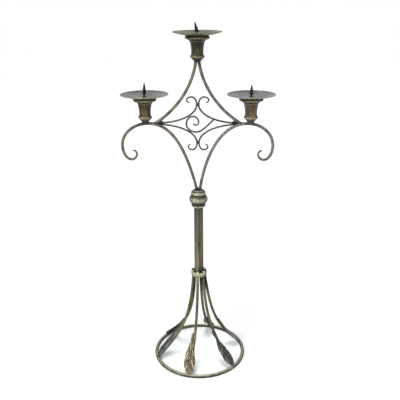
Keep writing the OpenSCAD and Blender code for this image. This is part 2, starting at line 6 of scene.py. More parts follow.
import bpy
import numpy as np
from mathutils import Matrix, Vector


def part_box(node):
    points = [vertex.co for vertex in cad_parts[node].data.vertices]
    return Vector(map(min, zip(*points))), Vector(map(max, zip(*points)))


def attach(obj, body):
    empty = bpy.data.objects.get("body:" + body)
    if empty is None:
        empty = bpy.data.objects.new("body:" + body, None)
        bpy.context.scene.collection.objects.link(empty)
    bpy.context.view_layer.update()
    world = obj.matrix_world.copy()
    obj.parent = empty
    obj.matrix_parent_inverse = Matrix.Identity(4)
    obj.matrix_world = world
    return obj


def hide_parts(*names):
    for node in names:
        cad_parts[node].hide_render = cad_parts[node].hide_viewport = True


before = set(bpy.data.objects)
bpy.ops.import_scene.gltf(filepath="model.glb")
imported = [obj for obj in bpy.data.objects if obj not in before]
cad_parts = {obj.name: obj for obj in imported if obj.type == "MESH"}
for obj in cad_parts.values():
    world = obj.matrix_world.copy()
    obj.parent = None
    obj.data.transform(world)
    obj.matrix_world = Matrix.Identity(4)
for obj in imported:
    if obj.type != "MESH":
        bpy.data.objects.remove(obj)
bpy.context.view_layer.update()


# ---- Base hoop
# A ring of round bar that lies on the floor. It is rolled in iron and butt-welded at the
# back, and finished, like every rod, in a dark bronze patina that handling has rubbed paler.
# A painted highlight runs along its top, and painted shade darkens its underside.

def paint(red, green, blue):
    """Screen values 0-255 as a linear RGBA: c / 12.92 below 0.04, else ((c + 0.055) / 1.055) ^ 2.4."""
    c = np.array([red, green, blue]) / 255
    c = np.where(c < 0.04045, c / 12.92, ((c + 0.055) / 1.055) ** 2.4)
    return (*c.tolist(), 1.0)


def add_node(tree, kind, inputs=None, **settings):
    """A new node with its settings, whose named or numbered inputs are set or linked."""
    node = tree.nodes.new(kind)
    for key, value in settings.items():
        setattr(node, key, value)
    for key, value in (inputs or {}).items():
        if isinstance(value, bpy.types.NodeSocket):
            tree.links.new(value, node.inputs[key])
        else:
            node.inputs[key].default_value = value
    return node


def calc(tree, operation, a, b=0.0):
    """The result of one step of arithmetic on two values or sockets."""
    return add_node(tree, "ShaderNodeMath", {0: a, 1: b}, operation=operation).outputs[0]


def weighed(tree, a, a_part, b, b_part):
    """Two values added up, each times its own part."""
    return calc(tree, "ADD", calc(tree, "MULTIPLY", a, a_part), calc(tree, "MULTIPLY", b, b_part))


def ramp(tree, value, low, high, start=0.0, end=1.0):
    """An even climb from start to end while the value goes from low to high."""
    return add_node(tree, "ShaderNodeMapRange",
                    {0: value, 1: low, 2: high, 3: start, 4: end}).outputs[0]


def blend_paint(tree, share, first, second):
    """The first colour, with that share of the second mixed in."""
    return add_node(tree, "ShaderNodeMix", {0: share, 6: first, 7: second},
                    data_type="RGBA").outputs[2]


def build_patina():
    """Node group of the antique finish: deep and body colour in clouds, pale metal where the
    surface is rubbed and where a highlight is painted, near black where dirt gathers and where
    shade is painted, and the roughness, metal and relief to match."""
    group = bpy.data.node_groups.new("antique patina", "ShaderNodeTree")
    for way, kind, names in (
            ("INPUT", "Vector", ["Vector"]), ("INPUT", "Color", ["Deep", "Body", "Rubbed"]),
            ("INPUT", "Float", ["Rub_and_highlight", "Grime_and_shade", "Mottle", "Polish"]), ("OUTPUT", "Color", ["Color"]),
            ("OUTPUT", "Float", ["Roughness", "Metallic", "Height"])):
        for name in names:
            group.interface.new_socket(name, in_out=way, socket_type=f"NodeSocket{kind}")
    given = add_node(group, "NodeGroupInput").outputs

    # Clouds about 40 mm across, spots 9 mm and specks 1.6 mm, each divided by the mottle.
    clouds, spots, specks = (
        add_node(group, "ShaderNodeTexNoise", {
            "Vector": given["Vector"], "Scale": calc(group, "MULTIPLY", given["Mottle"], count),
            "Detail": detail}).outputs[0]
        for count, detail in ((26, 3), (110, 3), (640, 2)))
    mottled = weighed(group, clouds, 0.75, spots, 0.25)
    ground = blend_paint(group, ramp(group, mottled, 0.38, 0.6), given["Deep"], given["Body"])

    uneven = calc(group, "SUBTRACT", weighed(group, spots, 0.6, specks, 0.4), 0.5)
    worn = ramp(group, calc(group, "ADD", given["Rub_and_highlight"], uneven), 0.2, 0.95)
    rubbed = blend_paint(group, worn, ground, given["Rubbed"])

    # Dirt and painted shade both darken the colour towards near black.
    dirt_and_shade = ramp(group, calc(group, "SUBTRACT", given["Grime_and_shade"], uneven), 0.25, 0.9, 0.0, 0.88)
    soot_and_shade = blend_paint(group, 0.62, given["Deep"], paint(8, 8, 8))
    color = blend_paint(group, dirt_and_shade, rubbed, soot_and_shade)

    matt = calc(group, "SUBTRACT", ramp(group, spots, 0.3, 0.7, 0.5, 0.64), given["Polish"])
    rough = calc(group, "ADD", matt, calc(group, "MULTIPLY", dirt_and_shade, 0.25))
    bare = ramp(group, worn, 0.0, 1.0, 0.2, 0.6)
    metallic = calc(group, "MULTIPLY", bare, ramp(group, dirt_and_shade, 0.0, 1.0, 1.0, 0.3))
    height = weighed(group, spots, 0.65, specks, 0.35)
    add_node(group, "NodeGroupOutput",
             {"Color": color, "Roughness": rough, "Metallic": metallic, "Height": height})
    return group


patina = build_patina()


def fresh_tree(owner):
    """The emptied node tree of a new material or world."""
    owner.use_nodes = True
    owner.node_tree.nodes.clear()
    return owner.node_tree


def patina_finish(name, deep, body, rubbed, mottle=1.0, polish=0.0, scale=(1, 1, 1),
                  relief=0.00012, edge=0.75):
    """A material in the antique finish, with this piece's three colours, how fine its clouds
    are, its polish, the scale of its clouds along x, y and z, where less than 1 draws them
    out, its relief in metres, and how dark the painted shade is where the surface turns away."""
    material = bpy.data.materials.new(name)
    tree = fresh_tree(material)
    place = add_node(tree, "ShaderNodeTexCoord").outputs["Object"]
    vector = add_node(tree, "ShaderNodeMapping", {"Vector": place, "Scale": scale}).outputs[0]
    rub_and_highlight, grime_and_shade = (add_node(tree, "ShaderNodeAttribute", attribute_name=key).outputs["Fac"]
                  for key in ("rub_and_highlight", "grime_and_shade"))
    coat = add_node(tree, "ShaderNodeGroup", {
        "Vector": vector, "Deep": paint(*deep), "Body": paint(*body), "Rubbed": paint(*rubbed),
        "Rub_and_highlight": rub_and_highlight, "Grime_and_shade": grime_and_shade, "Mottle": mottle, "Polish": polish}, node_tree=patina).outputs
    bump = add_node(tree, "ShaderNodeBump", {"Height": coat["Height"], "Distance": relief})
    # Painted shade: the colour darkens towards dark blue-grey where the surface turns away from the eye.
    away = add_node(tree, "ShaderNodeLayerWeight", {"Blend": 0.5}).outputs["Facing"]
    edge_shade = ramp(tree, away, 0.2, 0.75, 0.0, edge)
    shader = add_node(tree, "ShaderNodeBsdfPrincipled", {
        "Base Color": blend_paint(tree, edge_shade, coat["Color"], paint(30, 30, 34)),
        "Roughness": coat["Roughness"], "Metallic": coat["Metallic"],
        "Normal": bump.outputs[0], "Specular IOR Level": 0.3})
    add_node(tree, "ShaderNodeOutputMaterial", {"Surface": shader.outputs[0]})
    return material


def skin_faces(rows, cols, loop):
    """Quads and triangles of a grid of points numbered row by row, whose rows are closed rings.
    A loop joins the last row to the first; otherwise a fan of triangles to an added middle
    point closes each end row."""
    at = np.arange(rows * cols).reshape(rows, cols)
    along = np.vstack([at, at[:1]]) if loop else at
    ahead = np.roll(along, -1, axis=1)
    quads = np.stack([along[:-1], ahead[:-1], ahead[1:], along[1:]], -1).reshape(-1, 4)
    if loop:
        return quads, np.empty((0, 3), int)
    middle = np.full(cols, rows * cols)
    first = np.stack([ahead[0], along[0], middle], -1)
    last = np.stack([along[-1], ahead[-1], middle + 1], -1)
    return quads, np.vstack([first, last])


def volume(points, quads, fans):
    """Six times the space inside closed faces: the sum of a . (b x c) over their triangles."""
    corners = points[np.vstack([quads[:, :3], quads[:, [0, 2, 3]], fans])]
    return (corners[:, 0] * np.cross(corners[:, 1], corners[:, 2])).sum()


def place_object(name, data):
    """A new object in the scene that shows this mesh, lamp or camera."""
    placed = bpy.data.objects.new(name, data)
    bpy.context.scene.collection.objects.link(placed)
    return placed


def make_piece(name, rings, finish, replaced=(), loop=False, rub_and_highlight=0.0, grime_and_shade=0.0, sharp=40):
    """A finished piece from rings of points, or from a list of several such grids. Its faces
    are turned outwards. rub_and_highlight and grime_and_shade are shares from 0 to 1, of wear
    and painted highlight and of dirt and painted shade: one, or an array for the rings."""
    points, faces = [], []
    masks = {"rub_and_highlight": [], "grime_and_shade": []}
    start = 0
    for grid in rings if isinstance(rings, list) else [rings]:
        own = grid.reshape(-1, 3)
        if not loop:
            own = np.vstack([own, grid[:1].mean(1), grid[-1:].mean(1)])
        quads, fans = skin_faces(*grid.shape[:2], loop)
        order = -1 if volume(own, quads, fans) < 0 else 1
        faces += (quads[:, ::order] + start).tolist() + (fans[:, ::order] + start).tolist()
        points.append(own)
        start += len(own)
        for key, share in (("rub_and_highlight", rub_and_highlight), ("grime_and_shade", grime_and_shade)):
            mask = np.broadcast_to(share, grid.shape[:2]).reshape(-1)
            masks[key] += [mask] if loop else [mask, mask[:1], mask[-1:]]
    mesh = bpy.data.meshes.new(name)
    mesh.from_pydata(np.vstack(points).tolist(), [], faces)
    for key, parts in masks.items():
        layer = mesh.attributes.new(key, "FLOAT", "POINT")
        layer.data.foreach_set("value", np.concatenate(parts).astype(np.float32))
    mesh.shade_smooth()
    mesh.set_sharp_from_angle(angle=math.radians(sharp))
    mesh.materials.append(finish)
    piece = place_object(name, mesh)
    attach(piece, "root")
    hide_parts(*replaced)


def held(value):
    """A value held between 0 and 1."""
    return np.clip(value, 0, 1)


def circle(count):
    """So many even angles round a full turn."""
    return np.linspace(0, 2 * np.pi, count, endpoint=False)


def hammered(length, turn, phase):
    """Swell of a forged rod: 1 + 0.012 * (a slow sine of the length, 25 mm long, that winds
    round it, and a quicker one, 9.5 mm long, that winds the other way)."""
    slow = np.sin(length * 251 + 1.4 * np.sin(turn + phase) + phase)
    quick = np.sin(length * 661 - 2 * turn + 2.3 * phase)
    return 1 + 0.012 * (0.6 * slow + 0.4 * quick)


hoop_low, hoop_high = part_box("base_hoop")
hoop_r = (hoop_high.z - hoop_low.z) / 2
hoop_mid = hoop_high.x - hoop_r
most_swell = 0.997  # of the bar's radius, so that it stays inside its CAD piece
iron = patina_finish("bronzed_bar", (63, 65, 57), (116, 118, 95), (194, 194, 162), mottle=1.3,
                     polish=0.08)

# Points at middle radius R + r cos w and height r + r sin w, where r swells by hammering.
turn, round_bar = np.meshgrid(circle(320), circle(20), indexing="ij")
swell = np.minimum(hammered(turn * hoop_mid, round_bar, 0.4), most_swell)
reach = hoop_mid + hoop_r * swell * np.cos(round_bar)
rise = hoop_r * (1 + swell * np.sin(round_bar))
rings = np.stack([reach * np.cos(turn), reach * np.sin(turn), rise], -1)
upper_face = held(np.sin(round_bar))
inner_face = held(-np.cos(round_bar))
in_three_places = held(-np.cos(3 * turn))
# Painted highlight along the top of the bar and painted shade underneath; the inner face is also darker
# in three places round the ring.
make_piece("hoop_bar", rings, iron, ["base_hoop"], loop=True,
           rub_and_highlight=0.1 + 0.6 * upper_face ** 3,
           grime_and_shade=0.1 + 0.65 * (1 - upper_face) ** 1.4 + 0.7 * inner_face * in_three_places)


# ---- Legs
# Six legs of 8 mm round bar, set by hand round the post. Each runs down beside the post, then
# flares out and is cut square against the hoop, where a bead of weld holds it.

leg_turns = np.radians([-11, 51, 110, 166, 231, 290]) - np.pi / 2  # anticlockwise from the front
leg_leans = (0.008, 0.0055, 0.019, 0.010, 0.0035, 0.010)  # outwards over the shank
leg_r = 0.004
weld_gap = 0.00015
post_low, post_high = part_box("post_tube")
post_r = post_high.x
leg_mid = post_r + weld_gap + leg_r
band_low, band_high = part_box("leg_band")
leg_shank = 0.145
leg_kick = 0.069
foot_dir = np.array([1, -1]) / math.sqrt(2)
leg_foot = np.array([hoop_mid, hoop_r]) - foot_dir * (hoop_r + weld_gap)
leg_knee = np.array([leg_mid, band_low.z])
leg_aim = leg_foot - foot_dir * leg_kick * math.sqrt(2)


def bezier(a, b, c, d, share):
    """a (1-t)^3 + 3 b t (1-t)^2 + 3 c t^2 (1-t) + d t^3, with t the share of the way."""
    t = np.asarray(share)[..., None]
    return a * (1 - t) ** 3 + 3 * b * t * (1 - t) ** 2 + 3 * c * t * t * (1 - t) + d * t ** 3


def turned(points, turn):
    """Points turned about the post's axis by an angle: x cos - y sin, x sin + y cos."""
    x, y, z = np.moveaxis(points, -1, 0)
    return np.stack([x * np.cos(turn) - y * np.sin(turn), x * np.sin(turn) + y * np.cos(turn), z], -1)


def unit(vector):
    """Vectors over their own length."""
    return vector / np.linalg.norm(vector, axis=-1, keepdims=True)


def left_of(direction):
    """Directions in a plane turned a quarter to their left: (-z, x)."""
    return np.stack([-direction[..., 1], direction[..., 0]], -1)


def run_of(path):
    """Length along a path at each of its points: the running sum of its steps."""
    return np.concatenate([[0], np.cumsum(np.linalg.norm(np.diff(path, axis=0), axis=1))])


def rod_rings(path, radii, phase, sides=20, step=0.0026, arris=0.4):
    """Rings round a path in the plane y = 0: the path + r (cos w * its left normal - sin w * y).
    r swells by hammering, and over the last arris * r of each end falls as a quarter circle."""
    run = run_of(path)
    radii = np.broadcast_to(radii, run.shape)
    along = np.gradient(path, run, axis=0)
    edge = arris * min(radii[0], radii[-1])
    ends = edge * np.array([0, 0.1, 0.3, 0.6])
    inner = np.arange(edge, run[-1] - edge, step)
    at = np.concatenate([ends, inner, run[-1] - ends[::-1]])
    middle = np.stack([np.interp(at, run, path[:, k]) for k in (0, 1)], -1)
    slope = np.stack([np.interp(at, run, along[:, k]) for k in (0, 1)], -1)
    normal = left_of(unit(slope))[:, None]
    from_end = held(np.minimum(at, run[-1] - at) / edge)
    rounding = 1 - arris * (1 - np.sqrt(1 - (1 - from_end) ** 2))
    radius = np.interp(at, run, radii) * rounding
    turn = circle(sides)[None]
    reach = radius[:, None] * np.minimum(hammered(at[:, None], turn, phase), 1)
    x, z = np.moveaxis(middle[:, None] + normal * (reach * np.cos(turn))[..., None], -1, 0)
    return np.stack([x, -reach * np.sin(turn), z], -1)


def leg_at(k, share):
    """Leg k's middle line below the band, in distance from the axis and height."""
    hang = leg_knee + [leg_leans[k], -leg_shank]
    return bezier(leg_knee, hang, leg_aim, leg_foot, share)


leg_iron = patina_finish("leg_bar", (61, 61, 48), (116, 111, 81), (167, 160, 121), mottle=1.6,
                         polish=0.08, edge=0.85)
# Painted shade below the band, deepest on the back legs; some legs also darken towards their feet.
band_shades = (0.15, 0.3, 0.9, 0.9, 0.9, 0.3)
foot_darkening = (0.0, 0.5, 0.1, 0.15, 0.1, 0.3)
for k, turn in enumerate(leg_turns):
    leg_path = np.vstack([[leg_mid, band_high.z], leg_at(k, np.linspace(0, 1, 120))])
    rings = turned(rod_rings(leg_path, leg_r, 1.7 * k), turn)
    height = rings[..., 2] / band_high.z
    near_band = held(1.5 - np.abs(height - 0.9) / 0.14)
    near_foot = held(1.3 - 2 * height)
    make_piece(f"leg_bar_{k + 1}", rings, leg_iron, [f"leg_{k + 1}"],
               rub_and_highlight=0.3 + 0.2 * np.sin(9 * height + k),
               grime_and_shade=0.1 + band_shades[k] * near_band + foot_darkening[k] * near_foot)

pole_gap = 0.12  # radians between a lump's first ring and its pole


def weld_rings(middle, radii, tilt, phase, rows=12, sides=18):
    """A lump of weld: an ellipsoid from pole to pole, swollen by two sines of its angles,
    tipped about y by an angle."""
    down, turn = np.meshgrid(np.linspace(pole_gap, np.pi - pole_gap, rows), circle(sides), indexing="ij")
    knobs = 0.6 * np.sin(3 * turn + 2 * down + phase) + 0.4 * np.sin(5 * down - 2 * turn + 3 * phase)
    swell = 1 + 0.12 * knobs
    x = radii[0] * swell * np.sin(down) * np.cos(turn)
    y = radii[1] * swell * np.sin(down) * np.sin(turn)
    z = radii[2] * swell * np.cos(down)
    x, z = x * np.cos(tilt) + z * np.sin(tilt), z * np.cos(tilt) - x * np.sin(tilt)
    return np.stack([x, y, z], -1) + np.array(middle)


def welds_round(turns, reach, height, radii, tilt, phase):
    """The same lump at each of these turns about the post, so far from its axis. The phase
    grows from one to the next, so that no two are alike."""
    return [turned(weld_rings((reach, 0, height), radii, tilt, phase * k), turn)
            for k, turn in enumerate(turns)]


weld_iron = patina_finish("weld_metal", (38, 36, 30), (72, 68, 56), (112, 104, 84), mottle=2.2,
                          relief=0.0003)
foot_weld = (0.0058, 0.0062, 0.0034)
foot_lap = 0.0012
foot_welds = welds_round(leg_turns, leg_foot[0] + foot_lap, leg_foot[1] - foot_lap, foot_weld,
                         np.radians(135), 1.3)
make_piece("foot_welds", foot_welds, weld_iron, rub_and_highlight=0.15, grime_and_shade=0.35)


# ---- Leaves
# A long stamped leaf on each leg, in 1.2 mm sheet: dished, with a raised midrib and slanting
# veins. Its stem lies on or beside the bar, and a run of weld holds it.

leaf_len = 0.112
leaf_w = 0.033
leaf_t = 0.0012
leaf_dish = 0.003
leaf_sides = (-1, -1, 0, 0, 0, -1)  # stem left of its bar, seen from outside, or on top of it
leaf_shifts = (-0.0055, -0.002, 0, 0, 0, -0.009)  # of the blade's middle, sideways
leaf_slides = (0, 0, 0, 0, 0.009, 0)  # past the leg's foot, over the hoop
stem_w = 0.006
leaf_tip_w = 0.0014
leaf_neck = 0.2
rib_w = 0.0015
rib_h = 0.0009
vein_pitch = 0.0112
vein_slant = 1.7
vein_w = 0.0014
vein_depth = 0.0008
field_h = 0.0006
flank_depth = 0.0004
leaf_rows = 110
leaf_cols = 30
# Lit and shaded copies of one bronze: each leaf's colours are set lighter or darker for how the light
# falls on it.
leaf_lit_shaded_colors = (
    ((59, 48, 32), (153, 138, 109), (225, 218, 187)),
    ((47, 50, 45), (81, 85, 74), (167, 167, 146)),
    ((112, 112, 112), (172, 171, 168), (206, 203, 200)),
    ((150, 148, 92), (220, 214, 146), (236, 230, 178)),
    ((20, 21, 22), (34, 35, 34), (66, 66, 52)),
    ((58, 60, 56), (104, 106, 98), (148, 148, 138)),
)


def hump(value, middle, width):
    """A bell curve: e to the power of -((value - middle) / width)^2."""
    return np.exp(-((value - middle) / width) ** 2)


def leaf_width(u):
    """Width at a share u of the length: 33 mm times sin(180 b^1.8)^0.38, where b is the share
    of the blade past the plain stem, and at least the stem, which narrows to the tip."""
    blade = held((u - leaf_neck) / (1 - leaf_neck))
    full = leaf_w * held(np.sin(np.pi * blade ** 1.8)) ** 0.38
    return np.maximum(stem_w + (leaf_tip_w - stem_w) * u, full)


def leaf_relief(u, y, phase):
    """Height of the stamping over the sheet: a midrib that fades to the tip, with a hollow along
    either flank, less a groove at each slanting vein, plus a swell between veins. With it come
    how deep a point lies in a groove, and how far its swell is rubbed."""
    blade = held((leaf_width(u) - stem_w) / (0.6 * leaf_w))
    rib = hump(y, 0, rib_w) * (1 - 0.6 * u)
    wander = 0.25 * np.sin(u * 13 + 5 * np.sign(y) + phase)
    order = (u * leaf_len - vein_slant * np.abs(y)) / vein_pitch + wander
    off_vein = np.abs(order - np.round(order)) * vein_pitch
    beside = blade * (1 - hump(y, 0, 1.6 * rib_w))
    groove = hump(off_vein, 0, vein_w) * beside
    swell = 0.5 - 0.5 * np.cos(2 * np.pi * order)
    flank = hump(np.abs(y), 0.0026, 0.0013) * blade
    height = rib_h * rib - vein_depth * groove + field_h * swell * beside - flank_depth * flank
    tone = 0.5 + 0.5 * np.sin(4.1 * np.floor(order) + 2 * np.sign(y) + 3 * phase)
    rubbed = swell * blade * tone + 0.6 * rib * (0.5 + 0.5 * np.sin(u * 37 + phase))
    return height, held(0.8 * groove + 0.9 * flank), rubbed


def leaf_line(k, u):
    """Points of leaf k's middle line on its bar, at shares u of its length, with the directions
    along and out of the bar. Past the foot the line goes straight on."""
    slide = leaf_slides[k]
    share = np.linspace(0, 1, 400)
    run = run_of(leg_at(k, share))
    start = np.interp(run[-1] - (leaf_len - slide), run, share)
    speed = 3 * np.linalg.norm(leg_foot - leg_aim)
    t = start + (1 + slide / speed - start) * u
    rib = leg_at(k, held(t)) + foot_dir * np.clip(t - 1, 0, None)[:, None] * speed
    along = unit(np.gradient(rib, axis=0))
    return rib, along, left_of(along)


def leaf_rings(k):
    """A closed sheet round the leaf: across its outer face and back across its inner one.
    Height over the bar's middle = lift - dish v^2 + stamping, with v from -1 to 1 across."""
    side, shift, slide = leaf_sides[k], leaf_shifts[k], leaf_slides[k]
    u = 1 - np.linspace(1, 0, leaf_rows)[:, None] ** 1.25
    rib, along, out = leaf_line(k, u[:, 0])

    width = leaf_width(u)
    fullness = np.minimum(1, width / leaf_w)
    stem_shift = side * (leg_r + stem_w / 2 + weld_gap)
    past_neck = np.clip(u - leaf_neck, 0, None)
    middle_shift = stem_shift + (shift - stem_shift) * np.minimum(1, 2 * past_neck)
    drift = middle_shift * (1 - u ** 8)
    across = np.linspace(-1, 1, leaf_cols)[None]
    v = np.concatenate([across, across[:, ::-1]], 1)
    outer = np.concatenate([np.ones_like(across), np.zeros_like(across)], 1)
    fall = leaf_dish * fullness
    climb = 1.0 if side == 0 else np.minimum(1, 0.25 + 6.5 * np.clip(u - leaf_neck / 2, 0, None))
    hop = (hoop_r - leg_r + leaf_dish) * (slide > 0)
    under = np.minimum(1, 2 * np.abs(drift) / width)
    lift = climb * (leg_r + weld_gap + 1.1 * fall * under ** 2) + hop * u * u
    y = v * width / 2
    stamping, groove, swell = leaf_relief(u, y, 1.9 * k)
    wave = 0.0007 * np.sin(u * 21 + 2 * k + 1.5 * v) * np.abs(v) ** 3 * fullness
    edge_fall = leaf_t * 0.45 * np.abs(v) ** 14
    height = lift - fall * v * v + stamping + wave + leaf_t * outer - edge_fall * (2 * outer - 1)
    x, z = rib[:, :1] + out[:, :1] * height, rib[:, 1:] + out[:, 1:] * height
    worn = held(0.12 + 0.55 * swell + 0.2 * np.abs(v) ** 6 - 0.4 * groove)
    dirt = held(0.1 + 1.6 * groove + 0.1 * (1 - outer))
    return np.stack([x, drift + y, z], -1), worn, dirt


leaf_tacks = []
tack = (0.0056, 0.0020, 0.0018)
tack_places = (2, 9, 16, 23)  # hundredths of the leaf's length
for k, turn in enumerate(leg_turns):
    points, worn, dirt = leaf_rings(k)
    finish = patina_finish(f"leaf_bronze_{k + 1}", *leaf_lit_shaded_colors[k], mottle=1.9, polish=0.08, edge=0.3)
    make_piece(f"stamped_leaf_{k + 1}", turned(points, turn), finish, [f"leaf_{k + 1}"],
               rub_and_highlight=worn, grime_and_shade=dirt, sharp=50)
    rib, along, out = leaf_line(k, np.linspace(0, 0.25, 26))
    beside = leaf_sides[k] * (leg_r + 0.0004)
    above = 0.0012 if leaf_sides[k] else leg_r + 0.0006
    for at in tack_places:
        spot = rib[at] + out[at] * above
        tilt = math.atan2(-along[at][1], along[at][0])
        lump = weld_rings((spot[0], beside, spot[1]), tack, tilt, 0.9 * k + at)
        leaf_tacks.append(turned(lump, turn))
make_piece("leaf_tacks", leaf_tacks, weld_iron, rub_and_highlight=0.1, grime_and_shade=0.3)


# ---- Leg band
# A collar of strip iron that holds the legs' tops against the post, closed round them by hand
# and filled behind with dark weld. Its outer face and the legs' tops are rubbed to pale gold.

def soften(profile, cut=0.16, passes=2):
    """A closed profile with rounded corners: each pass swaps a corner for two points, at a
    share cut from either end of its sides."""
    for _ in range(passes):
        ahead = np.roll(profile, -1, axis=0)
        pair = np.stack([profile + cut * (ahead - profile), ahead - cut * (ahead - profile)], 1)
        profile = pair.reshape(-1, 2)
    return profile


def lathe_rings(profile, turn, factor=1.0, middle=(0.0, 0.0)):
    """A profile of (radius, height) turned about an upright axis, with a point at each of these
    angles: one ring for each profile point. The factor multiplies the radius."""
    reach = profile[:, :1] * factor
    x = middle[0] + reach * np.cos(turn)
    y = middle[1] + reach * np.sin(turn)
    return np.stack([x, y, np.broadcast_to(profile[:, 1:], x.shape)], -1)


band_t = 0.0013
band_out = band_high.x
band_in = band_out - band_t
gold = patina_finish("rubbed_gold", (97, 93, 71), (154, 147, 121), (216, 210, 177), mottle=0.9,
                     polish=0.1, edge=0.55)
band_profile = soften(np.array([[band_in, band_low.z], [band_out, band_low.z],
                                [band_out, band_high.z], [band_in, band_high.z]]), 0.05)
outer_face = (band_profile[:, :1] > band_out - band_t / 2) * 1.0
upper_edge = (band_profile[:, 1:] > (band_low.z + band_high.z) / 2) * 1.0
# Closed by hand: the radius loses 0.4 % times (1 + a sine of six waves, a little uneven).
turn = circle(96)
uneven = 0.004 * (1 + np.sin(6 * turn + 0.8 + 0.5 * np.sin(turn)))
# Painted highlight along the top edge of the outer face, and painted shade on the inner face.
make_piece("leg_collar", lathe_rings(band_profile, turn, 1 - uneven), gold, ["leg_band"],
           loop=True, rub_and_highlight=(0.45 + 0.4 * upper_edge) * outer_face, grime_and_shade=0.6 * (1 - outer_face))

between_legs = (leg_turns + np.append(leg_turns[1:], leg_turns[0] + 2 * np.pi)) / 2
# The weld lumps between the legs are darkened further, as painted shade under the band.
collar_fill = welds_round(between_legs, leg_mid - 0.0002, band_high.z - 0.0075,
                          (0.0040, 0.0056, 0.0045), 0, 2.1)
make_piece("collar_weld", collar_fill, weld_iron, rub_and_highlight=0.0, grime_and_shade=0.7)
leg_crowns = welds_round(leg_turns, leg_mid + 0.0006, band_high.z, (0.0040, 0.0036, 0.0022), 0, 1.7)
make_piece("leg_crowns", leg_crowns, gold, rub_and_highlight=0.85)


# ---- Post
# One inch tube between the legs and the knop, with its rolled seam at the back. The patina
# has run down it in long streaks; a painted highlight runs down its front, with painted shade
# beside it. A tapped plug in its top takes the stud of the knop.

post_bronze = patina_finish("post_bronze", (40, 46, 48), (136, 132, 107), (170, 141, 99), mottle=3.2,
                            polish=0.12, scale=(1, 1, 0.08), relief=0.00008, edge=0.95)
post_wall = 0.002
tube_rise = np.linspace(post_low.z, post_high.z, 90)[:, None]
tube_profile = np.vstack([tube_rise * [0, 1] + [post_r, 0],
                          tube_rise[::-1] * [0, 1] + [post_r - post_wall, 0]])
# Drawn tube: the radius loses a seam 0.25 mm deep at the back, and faint dents along it.
turn = circle(72)
seam = 0.02 * hump(turn, np.pi / 2, 0.05)
dents = 0.003 * (1 + np.sin(tube_profile[:, 1:] * 90 + 3 * np.sin(turn))) / 2
rings = lathe_rings(tube_profile, turn, 1 - seam - dents)
height = (tube_profile[:, 1:] - post_low.z) / (post_high.z - post_low.z)
ends = held(1 - np.minimum(height, 1 - height) / 0.16)
# Painted highlight: a pale streak down the front, left of the middle. Painted shade: a dark streak just
# right of it. Both ends are darker.
painted_highlight_streak = hump(turn, np.radians(254), 0.28) * (0.7 + 0.3 * np.sin(5 * height))
painted_shade_streak = hump(turn, np.radians(279) + 0.1 * np.sin(7 * height), 0.25)
make_piece("post_pipe", rings, post_bronze, ["post_tube"], loop=True,
           rub_and_highlight=0.15 + 0.35 * painted_highlight_streak * (1 - ends), grime_and_shade=0.1 + 0.3 * painted_shade_streak + 0.5 * ends)


# ---- Knop
# Three castings threaded on one stud: a ring with a bright neck, a bead with twelve lobes, and
# a grooved disc that the frame stands on. Proud edges are rubbed pale, and hollows are dark.

knop_bronze = patina_finish("knop_bronze", (42, 44, 44), (124, 118, 97), (228, 220, 192), mottle=2.6,
                            polish=0.2, edge=0.75)
ring_low, ring_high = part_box("knop_ring")
ring_r = ring_high.x
ring_h = ring_high.z - ring_low.z
ring_bore = post_r + weld_gap
ring_floor = 0.00315
neck_r = ring_bore + 0.0019
stud_r = 0.0052


def wear_of(profile):
    """Wear and dirt along a closed profile from how far it bends: a proud corner is rubbed and
    a hollow one is dark. The bend is the turn of its sides, spread over its neighbours."""
    step = np.roll(profile, -1, axis=0) - profile
    back = np.roll(step, 1, axis=0)
    bend = np.arctan2(back[:, 0] * step[:, 1] - back[:, 1] * step[:, 0], (back * step).sum(1))
    length = np.linalg.norm(step, axis=1)
    reach = np.concatenate([[0], np.cumsum(length)[:-1]])
    apart = np.abs(reach[:, None] - reach[None])
    apart = np.minimum(apart, length.sum() - apart)
    spread = 0.9 * (hump(apart, 0, 0.0011) * bend[None]).sum(1)[:, None]
    return held(spread), held(-spread)


ring_profile = soften(np.array([
    [ring_bore, 0], [neck_r, 0], [neck_r, 0.0016], [neck_r + 0.0014, 0.0023],
    [ring_r - 0.0016, 0.0029], [ring_r - 0.0003, 0.0040], [ring_r, 0.0054], [ring_r, 0.0076],
    [ring_r - 0.0009, 0.0094], [ring_r - 0.0022, 0.0108], [ring_r - 0.0034, ring_h],
    [stud_r, ring_h], [stud_r, ring_floor], [ring_bore, ring_floor]]) + [0, ring_low.z])
knop_turn = circle(96)
worn, dirt = wear_of(ring_profile)
collar = hump(ring_profile[:, 1:], ring_low.z + 0.0045, 0.0018)
make_piece("knop_collar", lathe_rings(ring_profile, knop_turn), knop_bronze, ["knop_ring"],
           loop=True, rub_and_highlight=0.05 + 0.3 * worn + 0.95 * collar,
           grime_and_shade=0.3 * dirt + 0.62 * (1 - worn) * (1 - collar))

bead_low, bead_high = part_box("knop_bead")
bead_r = 0.0255
bead_mid = (bead_low.z + bead_high.z) / 2
bead_half = (bead_high.z - bead_low.z) / 2
bead_lobes = 12
sweep = np.linspace(0, 1, 30)
bulge = held(np.sin(np.pi * sweep ** 0.85)) ** 0.75
belly_line = np.stack([bead_r * (0.71 + 0.29 * bulge), bead_low.z + 2 * bead_half * sweep], -1)
bead_profile = np.vstack([belly_line, [[stud_r, bead_high.z], [stud_r, bead_low.z]]])
